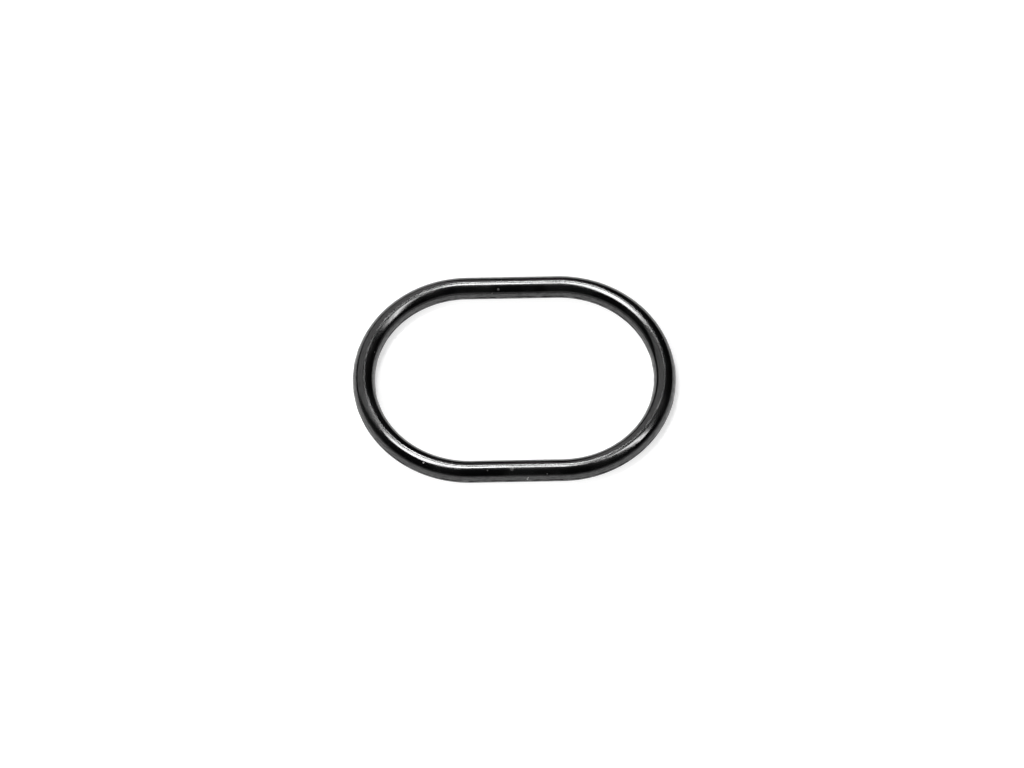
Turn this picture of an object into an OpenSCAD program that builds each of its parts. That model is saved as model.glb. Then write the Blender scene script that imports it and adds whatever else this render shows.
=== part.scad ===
// Oval sealing ring: one endless round cord of black rubber, moulded in a single piece.
// It lies in the groove round an oval port and is squeezed between two flat flanges.
// Lengths are in millimetres. The ring lies on z = 0, with its long side along X
// and the origin at the middle of its oval.

/* [Cord] */
// Diameter of the round cord
cord_d = 4; // [2.5:0.1:6]

/* [Oval] */
// Length of the opening inside the cord, along X
opening_length = 50.5; // [40:0.5:90]
// Width of the opening inside the cord, along Y
opening_width = 34; // [20:0.5:38]

/* [Mould line] */
// How far the trimmed mould line stands out of the cord
line_proud = 0.05; // [0.02:0.01:0.15]
// Height of the mould line, along Z
line_height = 0.16; // [0.1:0.02:0.4]

/* [Hidden] */
$fn = 128;

// Angle that each rounded end turns through
end_turn = 180;
// Radius of the cord's centre line round each end, so that each end is half a circle
bend_r = (opening_width + cord_d) / 2;
// Length of each straight side, between the two ends
straight_length = opening_length - opening_width;
// The two sides of a middle plane, which the ends and the straights are mirrored about
BOTH_SIDES = [-1, 1];

// Section of the cord: a full circle, with the mould line on its inner and outer sides
module cord_section() {
    circle(d = cord_d);
    square([cord_d + 2 * line_proud, line_height], center = true);
}

// Half a turn of cord: side 1 is the end at +X and side -1 the end at -X
module rounded_end(side) {
    translate([side * straight_length / 2, 0, 0])
        rotate_extrude(angle = end_turn, start = -side * end_turn / 2)
            translate([bend_r, 0])
                cord_section();
}

// Straight run of cord: side 1 is the one at +Y and side -1 the one at -Y
module straight_run(side) {
    translate([0, side * bend_r, 0])
        rotate([90, 0, 90])
            linear_extrude(height = straight_length, center = true)
                cord_section();
}

// The whole ring, lifted so that the bottom of the cord touches z = 0
module sealing_ring() {
    color([0.03, 0.03, 0.03])
        translate([0, 0, cord_d / 2]) {
            for (side = BOTH_SIDES) rounded_end(side);
            for (side = BOTH_SIDES) straight_run(side);
        }
}

sealing_ring();
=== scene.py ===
import math

import bpy
from mathutils import Matrix, Vector, noise


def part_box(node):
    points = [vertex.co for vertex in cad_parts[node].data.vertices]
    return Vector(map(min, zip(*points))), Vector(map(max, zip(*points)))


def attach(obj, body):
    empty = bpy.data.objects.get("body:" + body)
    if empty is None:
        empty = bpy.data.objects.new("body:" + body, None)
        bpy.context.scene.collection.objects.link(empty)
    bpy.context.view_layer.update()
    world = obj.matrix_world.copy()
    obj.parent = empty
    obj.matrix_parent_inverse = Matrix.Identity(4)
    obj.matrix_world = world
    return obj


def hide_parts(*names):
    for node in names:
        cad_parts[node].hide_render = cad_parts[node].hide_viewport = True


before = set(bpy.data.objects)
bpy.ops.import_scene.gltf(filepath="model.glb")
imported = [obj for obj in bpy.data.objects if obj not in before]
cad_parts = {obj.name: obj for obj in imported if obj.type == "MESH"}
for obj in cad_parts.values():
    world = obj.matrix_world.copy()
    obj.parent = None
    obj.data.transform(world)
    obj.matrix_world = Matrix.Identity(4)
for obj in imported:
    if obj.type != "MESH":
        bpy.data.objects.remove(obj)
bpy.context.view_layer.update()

# The sealing ring is one endless round cord of black nitrile rubber, and lies as an oval. It is
# moulded in one piece between two polished halves, which meet at mid height. The flash that they
# leave there is trimmed off, so a fine uneven line runs round the inner and the outer side.

MM = 0.001
ring_low, ring_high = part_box("sealing_ring")
# The node's box holds its even mould line too, which stands this far out of the round cord
EVEN_PROUD = 0.05 * MM
cord_r = (ring_high.z - ring_low.z) / 2
bend_r = ring_high.y - EVEN_PROUD - cord_r
half_straight = ring_high.x - ring_high.y
# What the trimming leaves of the line, at least and at most, and how high it is at half of that
LINE_LEAST = 0.01 * MM
LINE_MOST = 0.05 * MM
LINE_HEIGHT = 0.20 * MM
# Each flank of the line slopes back to the cord over this height
FLANK_HEIGHT = 0.10 * MM
# Length along the ring over which the trimming's depth changes, and how strongly it changes
TRIM_LENGTH = 1.6 * MM
TRIM_CONTRAST = 0.9
# Steps along one rounded end and one straight run, and round the cord
END_STEPS = 168
STRAIGHT_STEPS = 60
CORD_STEPS = 72
FLANK_STEPS = 4
# The cord's even steps start this many times as far from mid height as the line's own steps end
CLEAR_OF_LINE = 1.3


def cord_angles():
    """Angles round the section, from the outer side, close together across the mould line."""
    line_half_angle = LINE_HEIGHT / 2 / cord_r
    flank = FLANK_HEIGHT / cord_r
    near_line = [line_half_angle + flank * (k / FLANK_STEPS - 0.5) for k in range(FLANK_STEPS + 2)]
    evenly = [2 * math.pi * k / CORD_STEPS for k in range(CORD_STEPS)]
    round_part = [a for a in evenly if abs(math.sin(a)) > CLEAR_OF_LINE * near_line[-1]]
    both_ways = [way * a for a in [0] + near_line for way in (-1, 1)]
    line_part = [side + a for side in (0, math.pi) for a in both_ways]
    return sorted({round(a % (2 * math.pi), 9) for a in round_part + line_part})


def centre_line():
    """Points of the oval centre line, each with the direction that faces out of the oval."""
    stations = []
    for side in (1, -1):
        middle = Vector((side * half_straight, 0, 0))
        for k in range(END_STEPS):
            turn = math.pi * (k / END_STEPS - 0.5)
            out = Vector((side * math.cos(turn), side * math.sin(turn), 0))
            stations.append((middle + bend_r * out, out))
        out = Vector((0, side, 0))
        for k in range(STRAIGHT_STEPS):
            along = side * half_straight * (1 - 2 * k / STRAIGHT_STEPS)
            stations.append((Vector((along, 0, 0)) + bend_r * out, out))
    return stations


def smooth(t):
    """0 below 0 and 1 above 1, with a smooth rise between."""
    t = min(1, max(0, t))
    return t * t * (3 - 2 * t)


def line_proud(place, height):
    """How far the mould line stands out there, at that height above the cord's middle."""
    left = smooth(0.5 + TRIM_CONTRAST * noise.noise(place / TRIM_LENGTH))
    share = smooth(0.5 - (abs(height) - LINE_HEIGHT / 2) / FLANK_HEIGHT)
    return share * (LINE_LEAST + left * (LINE_MOST - LINE_LEAST))


def ring_mesh():
    """The cord swept round its centre line, as one closed skin of quads. Its map, named cord,
    gives how far along the ring and how far round the cord each corner lies, in metres."""
    angles = cord_angles()
    stations = centre_line()
    up = Vector((0, 0, 1))
    points, faces, corners = [], [], []
    for place, out in stations:
        for a in angles:
            side = place + math.copysign(cord_r, math.cos(a)) * out
            r = cord_r + line_proud(side, cord_r * math.sin(a))
            points.append(place + r * math.cos(a) * out + (cord_r + r * math.sin(a)) * up)
    rows, columns = len(stations), len(angles)
    along = [0.0]
    for (place, _), (next_place, _) in zip(stations, stations[1:] + stations[:1]):
        along.append(along[-1] + (next_place - place).length)
    around = [cord_r * a for a in angles + [angles[0] + 2 * math.pi]]
    for i in range(rows):
        for j in range(columns):
            i2, j2 = (i + 1) % rows, (j + 1) % columns
            faces.append((i * columns + j, i2 * columns + j, i2 * columns + j2, i * columns + j2))
            corners += [(along[i], around[j]), (along[i + 1], around[j]),
                        (along[i + 1], around[j + 1]), (along[i], around[j + 1])]
    mesh = bpy.data.meshes.new("sealing_ring_skin")
    mesh.from_pydata(points, [], faces)
    mesh.shade_smooth()
    cord_map = mesh.uv_layers.new(name="cord")
    for mapped, corner in zip(cord_map.data, corners):
        mapped.uv = corner
    return mesh


class Shade:
    """A value at a shader socket. Arithmetic adds Math nodes, and node() adds any other node."""

    def __init__(self, tree, socket=None):
        self.tree = tree
        self.socket = socket

    def node(self, kind, settings, sockets, output=0):
        """A new node's output. Its settings come first, then its sockets are set or linked."""
        new_node = self.tree.nodes.new(kind)
        for name, value in settings.items():
            setattr(new_node, name, value)
        for name, value in sockets.items():
            if isinstance(value, Shade):
                self.tree.links.new(value.socket, new_node.inputs[name])
            else:
                new_node.inputs[name].default_value = value
        return None if output is None else Shade(self.tree, new_node.outputs[output])

    def other(self, output):
        """Another output of the same node."""
        return Shade(self.tree, self.socket.node.outputs[output])

    def math(self, operation, *values):
        return self.node("ShaderNodeMath", {"operation": operation}, dict(enumerate(values)))

    def __add__(self, value):
        return self.math("ADD", self, value)

    def __sub__(self, value):
        return self.math("SUBTRACT", self, value)

    def __rsub__(self, value):
        return self.math("SUBTRACT", value, self)

    def __mul__(self, value):
        return self.math("MULTIPLY", self, value)

    def __abs__(self):
        return self.math("ABSOLUTE", self)

    __radd__ = __add__
    __rmul__ = __mul__

    def step(self, start, end):
        """0 before start and 1 after end, with a smooth rise between."""
        settings = {"interpolation_type": "SMOOTHSTEP"}
        sockets = {"Value": self, "From Min": start, "From Max": end}
        return self.node("ShaderNodeMapRange", settings, sockets)

    def blend(self, colour, other_colour):
        """The first colour where this value is 0, and the other where it is 1."""
        share_socket, colour_socket, other_socket, mixed = 0, 6, 7, 2
        sockets = {share_socket: self, colour_socket: colour, other_socket: other_colour}
        return self.node("ShaderNodeMix", {"data_type": "RGBA"}, sockets, output=mixed)


def blank_material(name):
    """A new material with no nodes, and the shade that its nodes start from."""
    material = bpy.data.materials.new(name)
    material.use_nodes = True
    material.node_tree.nodes.clear()
    return material, Shade(material.node_tree)


CARBON_BLACK = (0.0010, 0.0010, 0.0011, 1)
# The rubber under the thin film that handling leaves in wide patches
FILM_BLACK = (0.0045, 0.0045, 0.0046, 1)
FILM_SIZE = 6 * MM
DUST_GREY = (0.42, 0.41, 0.40, 1)
# How much of their colour the film and the dust show, and how much rougher they make the rubber
FILM_SHOWS = 0.7
DUST_SHOWS = 0.7
FILM_ROUGHENS = 0.05
DUST_ROUGHENS = 0.5
RUBBER_GLOSS = 0.15
RUBBER_IOR = 1.7
# How deep the moulded grain is, how far apart its lumps are and the share of the depth of each
GRAIN_DEPTH = 0.008 * MM
GRAIN = [(1.1 * MM, 0.5), (0.45 * MM, 0.3), (0.2 * MM, 0.2)]
# Height of the dull band that the trimming leaves, and the shares of it between which it fades
TRIMMED_HEIGHT = 0.60 * MM
TRIMMED_FADES = (0.35, 0.6)
# The band is broken into dashes, and both sides of the cord are mottled with fainter dull streaks
DASH_LENGTH = 2.0 * MM
DASH_WIDTH = 0.30 * MM
DASH_SHARE = 0.8
STREAK_LENGTH = 1.2 * MM
STREAK_WIDTH = 0.35 * MM
STREAK_SHARE = 0.30
# What is dull is rougher and has almost no gloss
DULL_ROUGHNESS = 0.7
DULL_SPECULAR = 0.03
# The levels of noise between which each one appears
DASH_LEVELS = (0.40, 0.54)
STREAK_LEVELS = (0.44, 0.60)
FILM_LEVELS = (0.42, 0.68)
# Heights, in cord radii, between which the streaks end below the crown, and dust settles thicker
STREAKS_END = (1.93, 1.985)
DUST_SETTLES = (0.6, 1.7)
# Share of the dust that sticks to what faces down too
DUST_STICKS = 0.35
# How far apart specks of dust may lie, how large they are, and the share of such places with one
LARGE_SPECKS = (2.4 * MM, 0.36 * MM, 0.25)
SMALL_SPECKS = (0.9 * MM, 0.14 * MM, 0.12)
# Share of a speck's size inside which it doesn't fade, and the share of the specks that are clear
SPECK_CORE = 0.6
CLEAR_SPECKS = 0.9
# Where the larger flecks of dust lie, in millimetres, how large they are and how clearly they show
FLECKS = [
    ((1.8, -20.93, 2.45), 0.32, 1.0),
    ((1.95, -20.80, 2.75), 0.26, 0.8),
    ((-0.96, -19.63, 3.90), 0.70, 0.14),
    ((-2.48, 17.80, 3.60), 0.50, 0.20),
]
# Shares of a fleck's size, from its middle, between which it fades
FLECK_FADES = (0.3, 0.6)


def moulded_rubber():
    """Black rubber as glossy as its mould, with a faint grain, dull streaks along its sides, a
    broken dull band where the flash was trimmed, a film from handling, and some dust."""
    material, rubber = blank_material("moulded_rubber")
    place = rubber.node("ShaderNodeTexCoord", {}, {}, output="Object")
    cord_place = rubber.node("ShaderNodeUVMap", {"uv_map": "cord"}, {}, output="UV")

    def lumps(size, detail=2.0, where=place):
        """Soft noise from 0 to 1, with lumps about that far apart."""
        sockets = {"Vector": where, "Scale": 1 / size, "Detail": detail}
        return rubber.node("ShaderNodeTexNoise", {}, sockets, output="Fac")

    def streaks(length, width):
        """Lumps of that width, drawn out to that length along the cord."""
        shrink = {0: cord_place, 1: (width / length, 1, 0)}
        drawn_out = rubber.node("ShaderNodeVectorMath", {"operation": "MULTIPLY"}, shrink)
        return lumps(width, detail=3.0, where=drawn_out)

    def specks(spacing, size, share):
        """Round specks of that size, in that share of cells that are that far apart."""
        sockets = {"Vector": place, "Scale": 1 / spacing}
        cells = rubber.node("ShaderNodeTexVoronoi", {}, sockets, output="Distance")
        chance = rubber.node(
            "ShaderNodeSeparateColor", {}, {"Color": cells.other("Color")}, output="Red")
        edge = size / 2 / spacing
        there = chance.step(1 - share, 1 - CLEAR_SPECKS * share)
        return (1 - cells.step(SPECK_CORE * edge, edge)) * there

    height = rubber.node("ShaderNodeSeparateXYZ", {}, {"Vector": place}, output="Z")
    off_middle = abs(height - cord_r)
    dashes = DASH_SHARE * streaks(DASH_LENGTH, DASH_WIDTH).step(*DASH_LEVELS)
    band = 1 - off_middle.step(*(TRIMMED_HEIGHT * share for share in TRIMMED_FADES))
    trimmed = band * dashes
    on_sides = 1 - height.step(*(cord_r * share for share in STREAKS_END))
    mottle = streaks(STREAK_LENGTH, STREAK_WIDTH).step(*STREAK_LEVELS) * on_sides
    film = lumps(FILM_SIZE, detail=3.0).step(*FILM_LEVELS)
    faces_up = height.step(*(cord_r * share for share in DUST_SETTLES))
    dust = specks(*LARGE_SPECKS) + specks(*SMALL_SPECKS)
    dust = dust * (DUST_STICKS + (1 - DUST_STICKS) * faces_up)
    for spot, size, clearness in FLECKS:
        ends = {0: place, 1: MM * Vector(spot)}
        gap = rubber.node("ShaderNodeVectorMath", {"operation": "DISTANCE"}, ends, output="Value")
        dust = dust + clearness * (1 - gap.step(*(size * MM * share for share in FLECK_FADES)))

    colour = (FILM_SHOWS * film).blend(CARBON_BLACK, FILM_BLACK)
    colour = (DUST_SHOWS * dust).blend(colour, DUST_GREY)
    roughness = RUBBER_GLOSS + FILM_ROUGHENS * film + DUST_ROUGHENS * dust
    coarse, middling, fine = (share * lumps(size) for size, share in GRAIN)
    sockets = {"Strength": 1.0, "Distance": GRAIN_DEPTH, "Height": coarse + middling + fine}
    grained = rubber.node("ShaderNodeBump", {}, sockets)
    gloss = rubber.node(
        "ShaderNodeBsdfPrincipled", {},
        {"Base Color": colour, "Roughness": roughness, "Normal": grained, "IOR": RUBBER_IOR})
    dull = rubber.node(
        "ShaderNodeBsdfPrincipled", {},
        {"Base Color": colour, "Roughness": DULL_ROUGHNESS, "Specular IOR Level": DULL_SPECULAR})
    dulled = trimmed + (1 - trimmed) * (STREAK_SHARE * mottle)
    skin = rubber.node("ShaderNodeMixShader", {}, {0: dulled, 1: gloss, 2: dull})
    rubber.node("ShaderNodeOutputMaterial", {}, {"Surface": skin}, output=None)
    return material


ring = bpy.data.objects.new("sealing_ring_cord", ring_mesh())
bpy.context.scene.collection.objects.link(ring)
ring.data.materials.append(moulded_rubber())
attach(ring, "root")
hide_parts("sealing_ring")

# The floor is a matt white board that the ring lies on, and no part of the ring. The camera and
# the ring's gloss see it evenly white, with only the ring's own soft shadow on it.

FLOOR_SIZE = 30.0
FLOOR_WHITE = 0.60
# Share of white that shows where no lamp reaches the board, beside the ring and far off
WHITE_NEAR = 0.67
WHITE_FAR = 1.0
NEAR_REACH = 0.08
FAR_REACH = 0.6


def white_board():
    """Matt white, with the rest of its white shown only to the camera and to gloss."""
    material, board = blank_material("white_board")
    place = board.node("ShaderNodeTexCoord", {}, {}, output="Object")
    reach = board.node("ShaderNodeVectorMath", {"operation": "LENGTH"}, {0: place}, output="Value")
    ray = board.node("ShaderNodeLightPath", {}, {}, output="Is Camera Ray")
    seen = ray + ray.other("Is Glossy Ray") + ray.other("Is Transmission Ray")
    white = WHITE_NEAR + (WHITE_FAR - WHITE_NEAR) * reach.step(NEAR_REACH, FAR_REACH)
    paint = board.node(
        "ShaderNodeBsdfPrincipled", {},
        {"Base Color": (FLOOR_WHITE, FLOOR_WHITE, FLOOR_WHITE, 1), "Roughness": 1.0,
         "Specular IOR Level": 0.0, "Emission Color": white * seen, "Emission Strength": 1.0})
    board.node("ShaderNodeOutputMaterial", {}, {"Surface": paint}, output=None)
    return material


half = FLOOR_SIZE / 2
corners = [(-half, -half, 0), (half, -half, 0), (half, half, 0), (-half, half, 0)]
floor_mesh = bpy.data.meshes.new("floor_board")
floor_mesh.from_pydata(corners, [], [(0, 1, 2, 3)])
floor = bpy.data.objects.new("floor_board", floor_mesh)
bpy.context.scene.collection.objects.link(floor)
floor.data.materials.append(white_board())

# The camera is no part of the ring either. A long lens looks down on the ring from in front, as
# in the photograph.

PHOTO_WIDTH = 1024
PHOTO_HEIGHT = 768
CAMERA_AZIMUTH = math.radians(-2.35)
CAMERA_ELEVATION = math.radians(60.86)
CAMERA_ROLL = math.radians(1.0)
# How long a millimetre of the ring is in the photograph, and where the ring's middle lies there
PIXELS_PER_MM = 5.521
RING_MIDDLE_X = 514.37
RING_MIDDLE_Y = 378.81
# The lens's focal length, in pixels of the photograph, and its sensor's width, in millimetres
FOCAL_PIXELS = 8000
SENSOR_WIDTH = 36
# The nearest and the farthest that the camera sees, in metres
CLIP_NEAR = 0.05
CLIP_FAR = 60

pixel = MM / PIXELS_PER_MM
back = Vector((
    math.sin(CAMERA_AZIMUTH) * math.cos(CAMERA_ELEVATION),
    -math.cos(CAMERA_AZIMUTH) * math.cos(CAMERA_ELEVATION),
    math.sin(CAMERA_ELEVATION)))
level = Vector((0, 0, 1)).cross(back).normalized()
camera_right = math.cos(CAMERA_ROLL) * level + math.sin(CAMERA_ROLL) * back.cross(level)
camera_up = back.cross(camera_right)
aim = (ring_low + ring_high) / 2
aim -= (RING_MIDDLE_X - PHOTO_WIDTH / 2) * pixel * camera_right
aim -= (PHOTO_HEIGHT / 2 - RING_MIDDLE_Y) * pixel * camera_up

lens = bpy.data.cameras.new("camera")
lens.sensor_width = SENSOR_WIDTH
lens.lens = SENSOR_WIDTH * FOCAL_PIXELS / PHOTO_WIDTH
lens.clip_start = CLIP_NEAR
lens.clip_end = CLIP_FAR
camera = bpy.data.objects.new("camera", lens)
turned = Matrix((camera_right, camera_up, back)).transposed().to_4x4()
camera.matrix_world = Matrix.Translation(aim + FOCAL_PIXELS * pixel * back) @ turned
bpy.context.scene.collection.objects.link(camera)
bpy.context.scene.camera = camera

# The studio light is soft boxes over the ring, in a room that is pale near the floor in front and
# dark above it, so that the rubber stays black between its highlights.

LAMP_DISTANCE = 1.2


def soft_box(name, azimuth, elevation, width, height, roll, brightness, gloss=True, matt=True):
    """A lamp that faces the ring. Its azimuth is in degrees clockwise from the back, seen from
    above, and its elevation in degrees up from the floor. The ring sees it as wide and as high
    in degrees as given, turned by roll, and so many times as bright as white. It can be left
    out of gloss, or of the light on matt surfaces."""
    lamp = bpy.data.lights.new(name, "AREA")
    lamp.shape = "RECTANGLE"
    lamp.size = 2 * LAMP_DISTANCE * math.tan(math.radians(width / 2))
    lamp.size_y = 2 * LAMP_DISTANCE * math.tan(math.radians(height / 2))
    lamp.energy = brightness * math.pi * lamp.size * lamp.size_y
    turn, rise, lean = math.radians(azimuth), math.radians(elevation), math.radians(roll)
    away = math.cos(rise)
    toward = Vector((math.sin(turn) * away, math.cos(turn) * away, math.sin(rise)))
    level_edge = Vector((-math.cos(turn), math.sin(turn), 0))
    across = math.cos(lean) * level_edge - math.sin(lean) * toward.cross(level_edge)
    faced = Matrix((across, toward.cross(across), toward)).transposed().to_4x4()
    box = bpy.data.objects.new(name, lamp)
    box.matrix_world = Matrix.Translation(toward * LAMP_DISTANCE) @ faced
    box.visible_camera = False
    box.visible_glossy = gloss
    box.visible_diffuse = matt
    bpy.context.scene.collection.objects.link(box)


soft_box("main_box", -54.1, 75, 16, 15, 13, 20)
soft_box("left_panel", -34.8, 36.2, 62, 44.4, -12.3, 0.85)
soft_box("top_box", -4, 71.7, 7, 11.6, -10.7, 32, matt=False)
soft_box("back_strip", 4.5, 53.2, 4, 6, 5.4, 42, matt=False)
soft_box("right_box", 85.5, 62.2, 7.8, 37, 36.6, 13, matt=False)
# This one fills the floor's shadow in front of the cord
soft_box("front_fill", -135, 35, 50, 40, 0, 5, gloss=False)

# The room's light where nothing stands, and that of the pale wall in front
ROOM_DARK = 0.006
FRONT_WALL = 0.68
# The wall is full up to the first of these heights and gone by the second, as sines of elevation
WALL_HEIGHTS = (0.10, 0.30)
# It fades round both sides, where 0 is behind the ring, 1 beside it and 2 in front
WALL_SIDES = (0.7, 1.3)
# Height above the horizon by which the white below it has ended
HORIZON_ENDS = 0.04


def dark_room():
    """White below the horizon, pale near the floor in front, and dark above."""
    world = bpy.data.worlds.new("dark_room")
    world.use_nodes = True
    world.node_tree.nodes.clear()
    room = Shade(world.node_tree)
    way = room.node("ShaderNodeTexCoord", {}, {}, output="Generated")
    rise = room.node("ShaderNodeSeparateXYZ", {}, {"Vector": way}, output="Z")
    in_front = (1 - rise.other("Y")).step(*WALL_SIDES)
    below = 1 - rise.step(0.0, HORIZON_ENDS)
    wall = FRONT_WALL * in_front * (1 - rise.step(*WALL_HEIGHTS))
    light = ROOM_DARK + below + (1 - below) * wall
    shown = room.node("ShaderNodeBackground", {}, {"Color": light, "Strength": 1.0})
    room.node("ShaderNodeOutputWorld", {}, {"Surface": shown}, output=None)
    bpy.context.scene.world = world


dark_room()
bpy.context.scene.view_settings.view_transform = "Standard"
